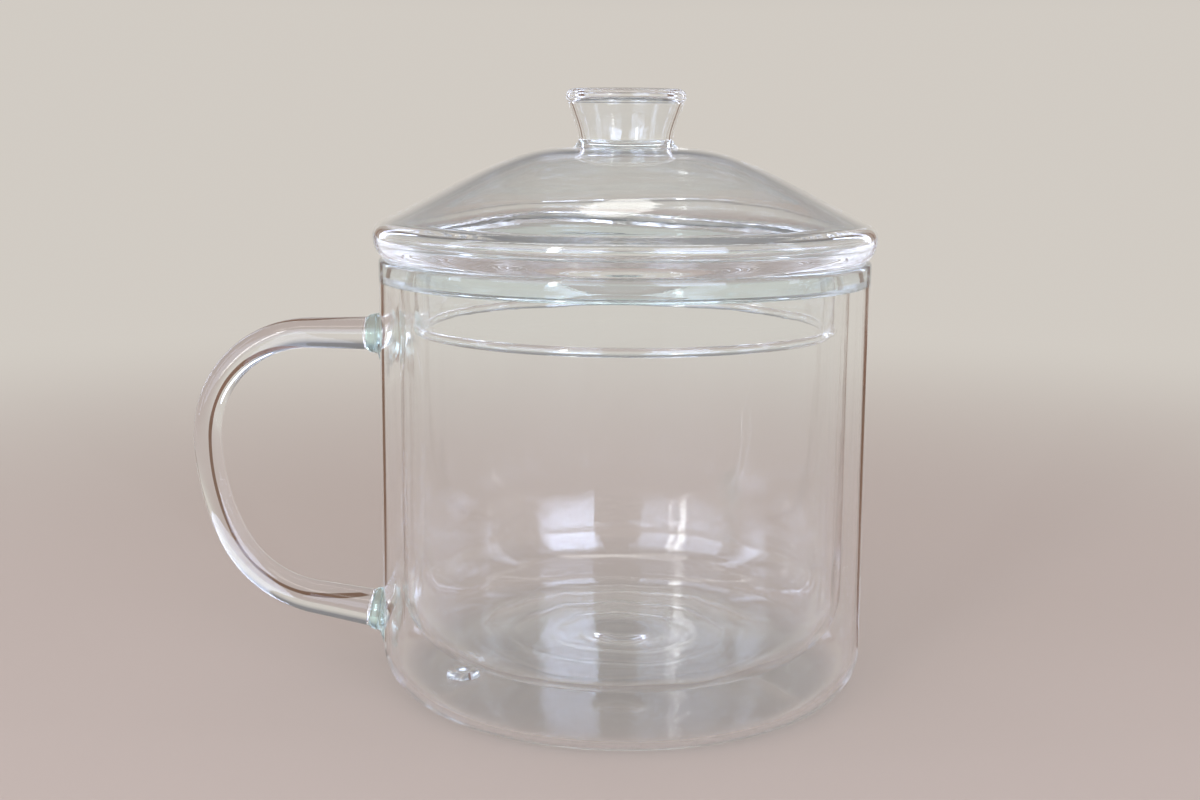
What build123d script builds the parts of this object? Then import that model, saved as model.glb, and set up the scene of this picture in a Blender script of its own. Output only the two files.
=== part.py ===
from build123d import *
import math
import os

# Double-walled glass mug with a looped handle and a loose domed lid, in millimetres.
# The origin is the centre of the base on the surface it stands on, +Z is up and the handle points to -X.

# Mug body
body_diameter = 100.0
rim_height = 89.5
shell_wall = 1.2
base_thickness = 1.4
base_corner = 9.0
wall_gap = 2.75
cup_wall = 1.2
floor_thickness = 1.2
floor_gap = 7.4
cup_corner = 12.0

# Shallow button left under the middle of the cup's floor by the cut-off
floor_mark_diameter = 14.0
floor_mark_depth = 0.7

# Solid ring of fused glass at the mouth
rim_bead_height = 4.5
rim_outer_round = 0.9
rim_inner_round = 1.5
rim_hollow_depth = 0.8

# Vent hole in the base and the drop of glass that closes it, with a dimple in its top
vent_diameter = 3.0
vent_place_share = 0.82
vent_angle = 188.0
seal_diameter = 7.2
seal_height = 1.2
seal_recess = 0.3
seal_ridge_share = 0.62
seal_dimple_depth = 0.6

# Handle rod, measured along its centre line
handle_reach = 36.95
handle_drop = 16.25
handle_foot_height = 13.9
upper_bend_radius = 22.0
lower_bend_radius = 24.0
side_bow_angle = 25.5
lower_arm_slope = 10.5
rod_top_diameter = 6.9
rod_bend_diameter = 5.8
rod_foot_diameter = 7.9
rod_bend_share = 0.32

# Flared welds between the rod and the wall; the flare runs on into the wall by the bite, where it is cut
weld_reach = 3.0
weld_bite = 1.0
weld_flare = 3.2
weld_sag = 1.6
weld_station_shares = (0.15, 0.4, 0.575, 0.75)
weld_swell_shares = (0.125, 0.2, 0.3, 0.66)
weld_sag_shares = (0, 0, 0.1, 0.6)

# Lid: domed cap with a rolled edge
lid_overhang = 1.1
seat_inset = 2.3
edge_equator = 4.5
edge_roll_radius = 3.3
edge_roll_slope = 22.0
edge_wall = 2.0
seat_thickness = 3.0
seat_inner_round = 1.0
crown_rise = 22.2
crown_land_diameter = 22.6
crown_pull_share = 0.34
edge_pull_share = 0.32
dome_wall = 1.4

# Collar that centres the lid in the mouth
skirt_clearance = 1.9
skirt_wall = 1.5
skirt_depth = 14.8
skirt_lip_diameter = 2.1

# Hollow knob
knob_diameter = 24.4
knob_neck_diameter = 19.2
knob_height = 11.6
knob_foot_height = 1.4
knob_lip_diameter = 3.0
knob_lip_turn = 40.0
knob_wall = 1.3
knob_top_thickness = 1.6
knob_inner_round_share = 0.7
knob_flare_shares = (0.22, 0.62)
knob_rim_pull_share = 0.6
knob_weld_width = 1.0

# How far a cutter runs past the face it enters by
cut_overrun = 1.0

# Radii and heights that follow from the sizes above
shell_radius = body_diameter / 2
shell_inner_radius = shell_radius - shell_wall
cup_radius = shell_inner_radius - wall_gap
cup_inner_radius = cup_radius - cup_wall
floor_underside = base_thickness + floor_gap
floor_top = floor_underside + floor_thickness
seam_height = rim_height - rim_bead_height
lid_radius = shell_radius + lid_overhang
skirt_radius = cup_inner_radius - skirt_clearance
skirt_inner_radius = skirt_radius - skirt_wall
crown_height = rim_height + crown_rise
crown_land_radius = crown_land_diameter / 2
knob_radius = knob_diameter / 2
neck_radius = knob_neck_diameter / 2
knob_bore_radius = neck_radius - knob_wall
knob_top = crown_height + knob_height
handle_top_height = rim_height - handle_drop


def turned(section):
    """Turn a section drawn as (radius, height) about the mug's axis."""
    return revolve(Plane.XZ * section, Axis.Z)


def rounded_section(*corners):
    """Closed section from corners given as (radius, height, corner rounding)."""
    points = [(radius, height) for radius, height, rounding in corners]
    roundings = [rounding for radius, height, rounding in corners]
    return make_face(FilletPolyline(*points, radius=roundings, close=True))


def domed_cap(radius, height, rise):
    """Shallow domed button on the mug's axis, with its flat side at the given height."""
    edge = (radius, height)
    middle = (0, height)
    tip = (0, height + rise)
    skin = TangentArc(tip, edge, tangent=(1, 0))
    return turned(make_face(skin + Polyline(edge, middle, tip)))


# Mug body
def vent_place():
    """Place of the vent hole on the flat part of the base."""
    distance = vent_place_share * (shell_radius - base_corner)
    return Pos(Vector(distance, 0, 0).rotate(Axis.Z, vent_angle))


def make_body_blank():
    """Solid inside the mug's outer surface, up to the rim."""
    return turned(
        rounded_section(
            (0, 0, 0),
            (shell_radius, 0, base_corner),
            (shell_radius, rim_height, 0),
            (0, rim_height, 0),
        )
    )


def make_outer_shell():
    """Outer wall and flat base, open at the top and pierced by the vent hole."""
    shell = turned(
        rounded_section(
            (0, 0, 0),
            (shell_radius, 0, base_corner),
            (shell_radius, seam_height, 0),
            (shell_inner_radius, seam_height, 0),
            (shell_inner_radius, base_thickness, base_corner - shell_wall),
            (0, base_thickness, 0),
        )
    )
    vent = Cylinder(vent_diameter / 2, 2 * (base_thickness + cut_overrun))
    return shell - vent_place() * vent


def make_inner_cup():
    """Inner wall and floor, with the shallow cut-off button under the floor."""
    cup = turned(
        rounded_section(
            (0, floor_underside, 0),
            (cup_radius, floor_underside, cup_corner + cup_wall),
            (cup_radius, seam_height, 0),
            (cup_inner_radius, seam_height, 0),
            (cup_inner_radius, floor_top, cup_corner),
            (0, floor_top, 0),
        )
    )
    return cup + domed_cap(floor_mark_diameter / 2, floor_underside, -floor_mark_depth)


def make_rim_bead():
    """Solid ring that closes the space between the walls, hollowed a little where it meets that space."""
    bead = turned(
        rounded_section(
            (cup_inner_radius, seam_height, 0),
            (shell_radius, seam_height, 0),
            (shell_radius, rim_height, rim_outer_round),
            (cup_inner_radius, rim_height, rim_inner_round),
        )
    )
    inner_edge = (cup_radius, seam_height)
    outer_edge = (shell_inner_radius, seam_height)
    middle = ((cup_radius + shell_inner_radius) / 2, seam_height + rim_hollow_depth)
    hollow = make_face(ThreePointArc(inner_edge, middle, outer_edge) + Line(outer_edge, inner_edge))
    return bead - turned(hollow)


def make_vent_seal():
    """Drop of glass: a stem that fills the vent hole and a dimpled button inside the air space."""
    seal_radius = seal_diameter / 2
    ridge_radius = seal_ridge_share * seal_radius
    ridge_height = base_thickness + seal_height
    dimple_height = ridge_height - seal_dimple_depth
    stem_length = base_thickness - seal_recess
    stem = Pos(0, 0, seal_recess) * Cylinder(
        vent_diameter / 2, stem_length, align=(Align.CENTER, Align.CENTER, Align.MIN)
    )
    ridge = (ridge_radius, ridge_height)
    edge = (seal_radius, base_thickness)
    dimple = Bezier(
        (0, dimple_height), (ridge_radius / 2, dimple_height), (ridge_radius / 2, ridge_height), ridge
    )
    flank = TangentArc(ridge, edge, tangent=(1, 0))
    foot = Polyline(edge, (0, base_thickness), (0, dimple_height))
    button = turned(make_face(dimple + flank + foot))
    return vent_place() * (stem + button)


# Handle
def solve_side_and_arm():
    """Side bow radius and lower arm length that join the top arm to the foot on the wall."""
    bow = math.radians(side_bow_angle)
    slope = math.radians(lower_arm_slope)
    bend_end = math.pi / 2 - slope
    bend_fall = lower_bend_radius * (math.sin(bend_end) - math.sin(bow))
    bend_run = lower_bend_radius * (math.cos(bow) - math.cos(bend_end))
    fall = handle_top_height - handle_foot_height - upper_bend_radius - bend_fall
    run = handle_reach - bend_run
    spread = math.sin(bow) * math.cos(slope) - math.sin(slope) * (1 - math.cos(bow))
    bow_radius = (fall * math.cos(slope) - run * math.sin(slope)) / spread
    arm_length = (run * math.sin(bow) - fall * (1 - math.cos(bow))) / spread
    return bow_radius, arm_length


def make_handle_path():
    """Centre line of the rod from the upper weld to the lower weld, in the plane of the handle."""
    bow_radius, arm_length = solve_side_and_arm()
    top_arm = handle_reach - upper_bend_radius - weld_reach
    lower_bend = 90 - side_bow_angle - lower_arm_slope
    start = (-shell_radius - weld_reach, handle_top_height)
    top = Line(start, (start[0] - top_arm, start[1]))
    upper = JernArc(top @ 1, top % 1, upper_bend_radius, 90)
    side = JernArc(upper @ 1, upper % 1, bow_radius, side_bow_angle)
    lower = JernArc(side @ 1, side % 1, lower_bend_radius, lower_bend)
    foot = Line(lower @ 1, (lower @ 1) + (lower % 1) * (arm_length - weld_reach))
    return Plane.XZ * Wire([top, upper, side, lower, foot])


def rod_section(path, share, diameter):
    """Round section of the rod, square to its centre line."""
    return Plane(origin=path @ share, z_dir=path % share) * Circle(diameter / 2)


def make_handle_rod(path):
    """Bent rod, drawn thinnest round its upper bend and thickest at its foot."""
    sections = [
        rod_section(path, 0, rod_top_diameter),
        rod_section(path, rod_bend_share, rod_bend_diameter),
        rod_section(path, 1, rod_foot_diameter),
    ]
    return sweep(sections, path=path, multisection=True)


def make_weld(rod_end, arm_direction, rod_diameter):
    """Flared foot from the end of the rod to the wall, cut to the mug's outer surface."""
    rod_radius = rod_diameter / 2
    foot_height = rod_end.Z + arm_direction.Z * weld_reach
    foot_centre = Vector(weld_bite - shell_radius, 0, foot_height)
    to_wall = Vector(1, 0, 0)
    stations = (0, *weld_station_shares, 1)
    swells = (0, *weld_swell_shares, 1)
    sags = (0, *weld_sag_shares, 1)
    sections = []
    for station, swell, sag in zip(stations, swells, sags):
        centre = rod_end + (foot_centre - rod_end) * station - Vector(0, 0, weld_sag * sag)
        direction = arm_direction + (to_wall - arm_direction) * station
        sections.append(Plane(origin=centre, z_dir=direction) * Circle(rod_radius + weld_flare * swell))
    return loft(sections) - make_body_blank()


# Lid
def dome_skin(start_radius, start_height, land_height):
    """Ogee curve of the dome from its rolled edge up to the flat land under the knob."""
    slope = math.radians(edge_roll_slope)
    span = start_radius - crown_land_radius
    edge_pull = edge_pull_share * span
    edge_point = (start_radius, start_height)
    edge_handle = (start_radius - edge_pull * math.cos(slope), start_height + edge_pull * math.sin(slope))
    crown_handle = (crown_land_radius + crown_pull_share * span, land_height)
    crown_point = (crown_land_radius, land_height)
    return Bezier(edge_point, edge_handle, crown_handle, crown_point)


def make_lid_dome():
    """Domed cap whose edge rolls over and under to the flat seat on the rim."""
    equator = rim_height + edge_equator
    seat_edge = (lid_radius - seat_inset, rim_height)
    seat_top = rim_height + seat_thickness
    roll_centre = (lid_radius - edge_roll_radius, equator)
    inner_roll_radius = edge_roll_radius - edge_wall
    roll_turn = 90 - edge_roll_slope
    inner_land = crown_height - dome_wall

    flank = TangentArc((lid_radius, equator), seat_edge, tangent=(0, -1))
    roll = CenterArc(roll_centre, edge_roll_radius, 0, roll_turn)
    dome = dome_skin((roll @ 1).X, (roll @ 1).Y, crown_height)
    inner_roll = CenterArc(roll_centre, inner_roll_radius, 0, roll_turn)
    inner_dome = dome_skin((inner_roll @ 1).X, (inner_roll @ 1).Y, inner_land)
    crown = Polyline(
        dome @ 1,
        (knob_bore_radius, crown_height),
        (knob_bore_radius, inner_land),
        inner_dome @ 1,
    )
    inner_flank = TangentArc(inner_roll @ 0, (roll_centre[0], seat_top), tangent=(0, -1))
    seat = FilletPolyline(
        inner_flank @ 1,
        (skirt_inner_radius, seat_top),
        (skirt_inner_radius, rim_height),
        seat_edge,
        radius=[seat_inner_round, 0],
    )
    return turned(make_face(flank + roll + dome + crown + inner_dome + inner_roll + inner_flank + seat))


def make_lid_skirt():
    """Collar below the seat with a rounded lower lip."""
    lip_radius = skirt_lip_diameter / 2
    lip_height = rim_height - skirt_depth + lip_radius
    middle_radius = skirt_radius - skirt_wall / 2
    wall = turned(
        rounded_section(
            (skirt_inner_radius, lip_height, 0),
            (skirt_radius, lip_height, 0),
            (skirt_radius, rim_height, 0),
            (skirt_inner_radius, rim_height, 0),
        )
    )
    lip = turned(Pos(middle_radius, lip_height) * Circle(lip_radius))
    return wall + lip


def knob_flare(foot_radius, foot_height, rim_radius, rim_low):
    """Hollow curve of the knob's side from its foot up to its rim."""
    height = rim_low - foot_height
    lower_share, upper_share = knob_flare_shares
    lower_handle = (foot_radius, foot_height + lower_share * height)
    rim_pull = knob_rim_pull_share * (rim_radius - foot_radius)
    rim_handle = (foot_radius + rim_pull, foot_height + upper_share * height)
    return Bezier((foot_radius, foot_height), lower_handle, rim_handle, (rim_radius, rim_low))


def make_lid_knob():
    """Hollow spool with a flat top and a round lip, open to the inside of the lid."""
    foot_top = crown_height + knob_foot_height
    inner_top = knob_top - knob_top_thickness
    lip_radius = knob_lip_diameter / 2
    lip_centre = (knob_radius - lip_radius, knob_top - lip_radius)
    lip = CenterArc(lip_centre, lip_radius, -knob_lip_turn, 90 + knob_lip_turn)
    rim_radius = (lip @ 0).X
    rim_low = (lip @ 0).Y
    inner_rim_radius = rim_radius - knob_wall
    inner_round = knob_inner_round_share * (inner_top - rim_low)
    side = knob_flare(neck_radius, foot_top, rim_radius, rim_low)
    inner_side = knob_flare(knob_bore_radius, foot_top, inner_rim_radius, rim_low)
    top = FilletPolyline(
        lip @ 1,
        (0, knob_top),
        (0, inner_top),
        (inner_rim_radius, inner_top),
        inner_side @ 1,
        radius=[0, 0, inner_round],
    )
    foot = Polyline(
        inner_side @ 0,
        (knob_bore_radius, crown_height),
        (neck_radius, crown_height),
        side @ 0,
    )
    return turned(make_face(side + lip + top + inner_side + foot))


def make_knob_weld():
    """Weld bead in the corner between the knob's foot and the dome."""
    corner = (neck_radius, crown_height)
    on_dome = (neck_radius + knob_weld_width, crown_height)
    on_foot = (neck_radius, crown_height + knob_foot_height)
    skin = TangentArc(on_dome, on_foot, tangent=(-1, 1))
    return turned(make_face(skin + Polyline(on_foot, corner, on_dome)))


handle_path = make_handle_path()
pieces = {
    "outer_shell": make_outer_shell(),
    "inner_cup": make_inner_cup(),
    "rim_bead": make_rim_bead(),
    "vent_seal": make_vent_seal(),
    "handle_rod": make_handle_rod(handle_path),
    "upper_handle_weld": make_weld(handle_path @ 0, handle_path % 0 * -1, rod_top_diameter),
    "lower_handle_weld": make_weld(handle_path @ 1, handle_path % 1, rod_foot_diameter),
    "lid_dome": make_lid_dome(),
    "lid_skirt": make_lid_skirt(),
    "lid_knob": make_lid_knob(),
    "knob_weld": make_knob_weld(),
}

os.makedirs("parts", exist_ok=True)
for name, piece in pieces.items():
    export_step(piece, f"parts/{name}.step")
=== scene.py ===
"""Dress the lidded glass mug for its studio picture, piece by piece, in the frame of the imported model."""

import logging
import math
from collections.abc import Callable, Iterator, Sequence
from dataclasses import dataclass, field
from enum import Enum

import bmesh
import bpy
from bmesh.types import BMEdge, BMesh, BMFace, BMVert
from bpy.types import Material, Node, NodeSocket, NodeTree, Object
from mathutils import Matrix, Vector, geometry, noise


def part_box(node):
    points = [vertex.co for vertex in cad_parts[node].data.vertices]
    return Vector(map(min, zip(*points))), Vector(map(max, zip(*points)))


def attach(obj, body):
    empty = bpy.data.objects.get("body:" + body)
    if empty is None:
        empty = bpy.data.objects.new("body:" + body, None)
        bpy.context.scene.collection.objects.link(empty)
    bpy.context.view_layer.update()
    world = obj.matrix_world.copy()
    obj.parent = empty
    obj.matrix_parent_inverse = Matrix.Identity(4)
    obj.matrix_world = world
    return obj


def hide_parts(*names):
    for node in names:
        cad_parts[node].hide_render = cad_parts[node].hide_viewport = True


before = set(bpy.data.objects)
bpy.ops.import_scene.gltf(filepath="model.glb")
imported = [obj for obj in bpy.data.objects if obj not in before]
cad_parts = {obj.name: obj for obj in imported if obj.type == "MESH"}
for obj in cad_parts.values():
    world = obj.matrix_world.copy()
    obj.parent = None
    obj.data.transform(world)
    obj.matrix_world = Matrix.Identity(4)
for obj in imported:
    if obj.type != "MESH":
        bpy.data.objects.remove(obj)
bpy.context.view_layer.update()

log = logging.getLogger("lidded_glass_mug")

Pair = tuple[float, float]
Triple = tuple[float, float, float]

PHOTO_WIDTH = 1200
SEAM = 0.000004  # gap that a piece leaves where it is fused to the next
MERGE = 1e-7  # vertices closer than this are one
NEARLY = 0.9999  # share of a rounding that keeps its ends off the next corners
WELD_HEIGHTS = (0.07325, 0.0139)  # heights of the handle's upper and lower weld
HALVINGS = 24  # steps of a search by halves


class Body(Enum):
    """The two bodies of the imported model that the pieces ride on."""

    MUG = "mug"
    LID = "lid"


class Slot(Enum):
    """Names of the two material slots."""

    THIN = "thin_glass"
    THICK = "thick_glass"


class Flow(Enum):
    """The way the glass was drawn, which its faint striae follow."""

    UPWARD = "upward"
    AROUND = "around"
    ALONG = "along"


class NodeSketch:
    """A node tree with short calls for adding and joining nodes."""

    def __init__(self, tree: NodeTree) -> None:
        """Start from an empty tree."""
        self.tree = tree
        tree.nodes.clear()

    def feed(self, value: object, target: NodeSocket) -> None:
        """Fill an input.

        Args:
            value: A socket to join to it, or a plain value.
            target: The input.
        """
        if isinstance(value, NodeSocket):
            self.tree.links.new(value, target)
        else:
            target.default_value = value

    def add(self, kind: str, settings: dict | None = None, **values: object) -> Node:
        """Add a node.

        Args:
            kind: Blender's name of the node type.
            settings: Properties of the node itself.
            values: Sockets or plain values for its inputs, with underscores for spaces in their names.

        Returns:
            The new node.
        """
        node = self.tree.nodes.new(kind)
        for name, value in (settings or {}).items():
            setattr(node, name, value)
        for name, value in values.items():
            self.feed(value, node.inputs[name.replace("_", " ")])
        return node

    def math(self, operation: str, first: object, second: object) -> NodeSocket:
        """Add a Math node.

        Args:
            operation: Its operation, such as MULTIPLY.
            first: A socket or a plain number.
            second: A socket or a plain number.

        Returns:
            The result.
        """
        node = self.add("ShaderNodeMath", {"operation": operation})
        self.feed(first, node.inputs[0])
        self.feed(second, node.inputs[1])
        return node.outputs[0]

    def length(self, vector: NodeSocket) -> NodeSocket:
        """Return the length of a vector."""
        return self.add("ShaderNodeVectorMath", {"operation": "LENGTH"}, Vector=vector).outputs["Value"]

    def ramp(self, at: NodeSocket, colours: Sequence[Triple], places: Pair = (0.0, 1.0)) -> NodeSocket:
        """Add a ramp between two colours.

        Args:
            at: Where on the ramp to read.
            colours: Its first and its last colour.
            places: Where these two stand.

        Returns:
            The colour that is read.
        """
        node = self.add("ShaderNodeValToRGB", Fac=at)
        for element, colour, place in zip(node.color_ramp.elements, colours, places):
            element.color = (*colour, 1.0)
            element.position = place
        return node.outputs["Color"]

    def rays(self, *kinds: str) -> NodeSocket:
        """Tell some kinds of rays from the others.

        Args:
            kinds: Kinds of rays, such as Camera.

        Returns:
            A value that is 1 for these rays.
        """
        path = self.add("ShaderNodeLightPath").outputs
        mask, *others = [path[f"Is {kind} Ray"] for kind in kinds]
        for other in others:
            mask = self.math("MAXIMUM", mask, other)
        return mask

    def mix(self, share: NodeSocket, first: NodeSocket, second: NodeSocket) -> NodeSocket:
        """Mix two shaders.

        Args:
            share: Share of the second one.
            first: A shader.
            second: Another shader.

        Returns:
            The mixed shader.
        """
        node = self.add("ShaderNodeMixShader", Fac=share)
        self.feed(first, node.inputs[1])
        self.feed(second, node.inputs[2])
        return node.outputs[0]


class Finish:
    """A material that is drawn when it is first asked for."""

    name: str

    def draw(self, sketch: NodeSketch) -> NodeSocket:
        """Add the nodes and return the surface's shader."""
        raise NotImplementedError

    def material(self) -> Material:
        """Find the material, or draw it on the first call.

        Returns:
            The material.
        """
        material = bpy.data.materials.get(self.name)
        if material is None:
            material = bpy.data.materials.new(self.name)
            material.use_nodes = True
            sketch = NodeSketch(material.node_tree)
            sketch.add("ShaderNodeOutputMaterial", Surface=self.draw(sketch))
        return material


class GlassFlowGroup:
    """Shader group: the striae and slow waves of drawn glass, and the haze that hands leave on it."""

    NAME = "glass_flow"
    INPUTS = {"Vector": "Vector", "Striae": "Float", "Wave": "Float", "Haze": "Float"}
    OUTPUTS = {"Height": "Float", "Roughness": "Float", "Tint": "Color"}
    TINTS = ((0.995, 0.999, 1.0), (1.0, 1.0, 1.0))

    def tree(self) -> NodeTree:
        """Return the group, built on the first call."""
        return bpy.data.node_groups.get(self.NAME) or self.build()

    def build(self) -> NodeTree:
        """Build the group.

        Returns:
            Its tree, with the inputs and outputs that are listed above.
        """
        tree = bpy.data.node_groups.new(self.NAME, "ShaderNodeTree")
        sketch = NodeSketch(tree)
        for side, sockets in (("INPUT", self.INPUTS), ("OUTPUT", self.OUTPUTS)):
            for name, kind in sockets.items():
                tree.interface.new_socket(name, in_out=side, socket_type=f"NodeSocket{kind}")
        given = sketch.add("NodeGroupInput").outputs
        textures = (
            {"Scale": 900.0, "Detail": 2.0, "Roughness": 0.55},
            {"Scale": 140.0, "Detail": 1.0, "Roughness": 0.4},
            {"Scale": 70.0, "Detail": 5.0, "Roughness": 0.62, "Distortion": 0.6},
        )
        fine, slow, smear = (
            sketch.add("ShaderNodeTexNoise", Vector=given["Vector"], **values).outputs["Fac"]
            for values in textures
        )
        striae = sketch.math("MULTIPLY", fine, given["Striae"])
        waves = sketch.math("MULTIPLY", slow, given["Wave"])
        patches = sketch.add("ShaderNodeMapRange", Value=smear, From_Min=0.52, From_Max=0.78)
        sketch.add(
            "NodeGroupOutput",
            Height=sketch.math("ADD", striae, waves),
            Roughness=sketch.math("MULTIPLY", patches.outputs["Result"], given["Haze"]),
            Tint=sketch.ramp(slow, self.TINTS),
        )
        return tree


@dataclass(frozen=True)
class GlassFinish(Finish):
    """One kind of clear glass on the mug.

    Attributes:
        name: Name of the material.
        flow: The way its striae run.
        tint: Colour of the light that passes through its skin.
        glow: Colour that light keeps at each bounce inside it.
        striae: Share of the bump depth in the fine striae.
        wave: Share of the bump depth in the slow waves.
        haze: Most roughness where hands have touched it.
        depth: Depth of the bump, in metres.
        refraction: Index of refraction.
        squeeze: Scale of the striae along the flow, against across it.
        lit: Colour of the light that reaches the floor through one skin.
    """

    name: str
    flow: Flow
    tint: Triple
    glow: Triple
    striae: float
    wave: float
    haze: float
    depth: float
    refraction: float = 1.473
    squeeze: float = 0.03
    lit: Triple = (0.92, 0.93, 0.93)

    def flow_vector(self, sketch: NodeSketch) -> NodeSocket:
        """Give texture coordinates that are stretched along the flow.

        Args:
            sketch: The material's nodes.

        Returns:
            The coordinates.
        """
        if self.flow is Flow.ALONG:
            return sketch.add("ShaderNodeAttribute", {"attribute_name": "across"}).outputs["Vector"]
        place = sketch.add("ShaderNodeTexCoord").outputs["Object"]
        if self.flow is Flow.UPWARD:
            scale = (1.0, 1.0, self.squeeze)
            return sketch.add("ShaderNodeMapping", Vector=place, Scale=scale).outputs["Vector"]
        parts = sketch.add("ShaderNodeSeparateXYZ", Vector=place).outputs
        flat = sketch.add("ShaderNodeCombineXYZ", X=parts["X"], Y=parts["Y"]).outputs["Vector"]
        aside = sketch.math("MULTIPLY", parts["X"], self.squeeze)
        turned = sketch.add("ShaderNodeCombineXYZ", X=sketch.length(flat), Y=aside, Z=parts["Z"])
        return turned.outputs["Vector"]

    def draw(self, sketch: NodeSketch) -> NodeSocket:
        """Draw clear refracting glass that lets light through to the floor.

        Args:
            sketch: The material's nodes.

        Returns:
            The surface's shader.
        """
        flow = sketch.add(
            "ShaderNodeGroup",
            {"node_tree": GlassFlowGroup().tree()},
            Vector=self.flow_vector(sketch),
            Striae=self.striae,
            Wave=self.wave,
            Haze=self.haze,
        ).outputs
        bump = sketch.add("ShaderNodeBump", Height=flow["Height"], Strength=1.0, Distance=self.depth)
        stain = sketch.add("ShaderNodeMix", {"data_type": "RGBA", "blend_type": "MULTIPLY"})
        for index, value in ((0, 1.0), (6, flow["Tint"]), (7, (*self.tint, 1.0))):
            sketch.feed(value, stain.inputs[index])
        glass = sketch.add(
            "ShaderNodeBsdfPrincipled",
            Base_Color=stain.outputs[2],
            Metallic=0.0,
            Roughness=flow["Roughness"],
            IOR=self.refraction,
            Normal=bump.outputs["Normal"],
            Transmission_Weight=1.0,
            Specular_Tint=(*self.glow, 1.0),
        )
        clear = sketch.add("ShaderNodeBsdfTransparent", Color=(*self.lit, 1.0)).outputs["BSDF"]
        surface = sketch.mix(sketch.rays("Diffuse"), glass.outputs["BSDF"], clear)
        return sketch.mix(sketch.rays("Shadow"), surface, clear)


@dataclass(frozen=True)
class FusedFinish(Finish):
    """The unseen faces where two pieces were melted into one: light passes as if they weren't there."""

    name: str = "fused_seam"

    def draw(self, sketch: NodeSketch) -> NodeSocket:
        """Return a shader that can't be seen."""
        return sketch.add("ShaderNodeBsdfPrincipled", Alpha=0.0, Specular_IOR_Level=0.0).outputs["BSDF"]


WALL_GLASS = GlassFinish(
    name="drawn_wall_glass", flow=Flow.UPWARD, tint=(0.996, 0.999, 1.0), glow=(0.985, 0.997, 0.998),
    striae=0.65, wave=0.35, haze=0.02, depth=0.000006,
)
LID_GLASS = GlassFinish(
    name="turned_lid_glass", flow=Flow.AROUND, tint=(0.988, 0.998, 1.0), glow=(0.94, 0.98, 0.985),
    striae=0.25, wave=0.75, haze=0.02, depth=0.00001,
)
RIM_GLASS = GlassFinish(
    name="fused_rim_glass", flow=Flow.AROUND, tint=(0.90, 0.975, 0.99), glow=(0.94, 0.99, 0.992),
    striae=0.30, wave=0.70, haze=0.01, depth=0.000008,
)
ROD_GLASS = GlassFinish(
    name="drawn_rod_glass", flow=Flow.ALONG, tint=(0.992, 0.998, 1.0), glow=(0.985, 0.997, 0.998),
    striae=0.70, wave=0.30, haze=0.015, depth=0.00002,
)
WELD_GLASS = GlassFinish(
    name="weld_glass", flow=Flow.AROUND, tint=(0.74, 0.92, 0.90), glow=(0.80, 0.95, 0.93),
    striae=0.60, wave=0.40, haze=0.02, depth=0.00007,
)


@dataclass(frozen=True)
class Corner:
    """One corner of a section, as distance from the axis and height, with its rounding in a few steps."""

    radius: float
    height: float
    rounding: float = 0.0
    steps: int = 8


def curve(start: Pair, first_pull: Pair, second_pull: Pair, end: Pair, steps: int) -> list[Corner]:
    """Follow a smooth curve.

    Args:
        start: First point, as radius and height.
        first_pull: Point that the curve leaves towards.
        second_pull: Point that it arrives from.
        end: Last point.
        steps: Number of points.

    Returns:
        The points as plain corners, both ends among them.
    """
    flat = [Vector((x, y, 0.0)) for x, y in (start, first_pull, second_pull, end)]
    return [Corner(point.x, point.y) for point in geometry.interpolate_bezier(*flat, steps)]


def arc(centre: Pair, radius: float, first: float, last: float, steps: int) -> list[Corner]:
    """Follow a round arc.

    Args:
        centre: Its centre, as radius and height in the section.
        radius: Its own radius.
        first: Angle of its first point, in degrees.
        last: Angle of its last point, in degrees.
        steps: Number of points.

    Returns:
        The points as plain corners, both ends among them.
    """
    angles = [math.radians(first + (last - first) * step / (steps - 1)) for step in range(steps)]
    return [Corner(centre[0] + radius * math.cos(a), centre[1] + radius * math.sin(a)) for a in angles]


def turn_section(
    bm: BMesh, corners: Sequence[Corner], closed: bool = False, longest: float = 0.003, turns: int = 256
) -> None:
    """Draw a section as a wire, round its corners and spin it about the upright axis.

    Args:
        bm: The mesh to add to.
        corners: The section, point by point.
        closed: True for a ring, whose last corner joins its first.
        longest: Longest stretch of the wire that stays undivided.
        turns: Number of steps in the full turn.
    """
    wire = [bm.verts.new((corner.radius, 0.0, corner.height)) for corner in corners]
    ends = [*wire[1:], wire[0]] if closed else wire[1:]
    for pair in zip(wire, ends):
        bm.edges.new(pair)
    for corner, vertex in zip(corners, wire):
        if corner.rounding:
            bmesh.ops.bevel(
                bm, geom=[vertex], offset=corner.rounding, segments=corner.steps,
                profile=0.5, affect="VERTICES", material=-1,
            )
    for edge in bm.edges[:]:
        cuts = math.ceil(edge.calc_length() / longest) - 1
        if cuts > 0:
            bmesh.ops.subdivide_edges(bm, edges=[edge], cuts=cuts)
    bmesh.ops.spin(
        bm, geom=bm.verts[:] + bm.edges[:], cent=(0.0, 0.0, 0.0), axis=(0.0, 0.0, 1.0),
        angle=math.tau, steps=turns, use_merge=True, use_duplicate=False,
    )


def settle(bm: BMesh) -> None:
    """Join the vertices that coincide and turn all faces outwards."""
    bmesh.ops.remove_doubles(bm, verts=bm.verts[:], dist=MERGE)
    bmesh.ops.recalc_face_normals(bm, faces=bm.faces[:])


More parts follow.
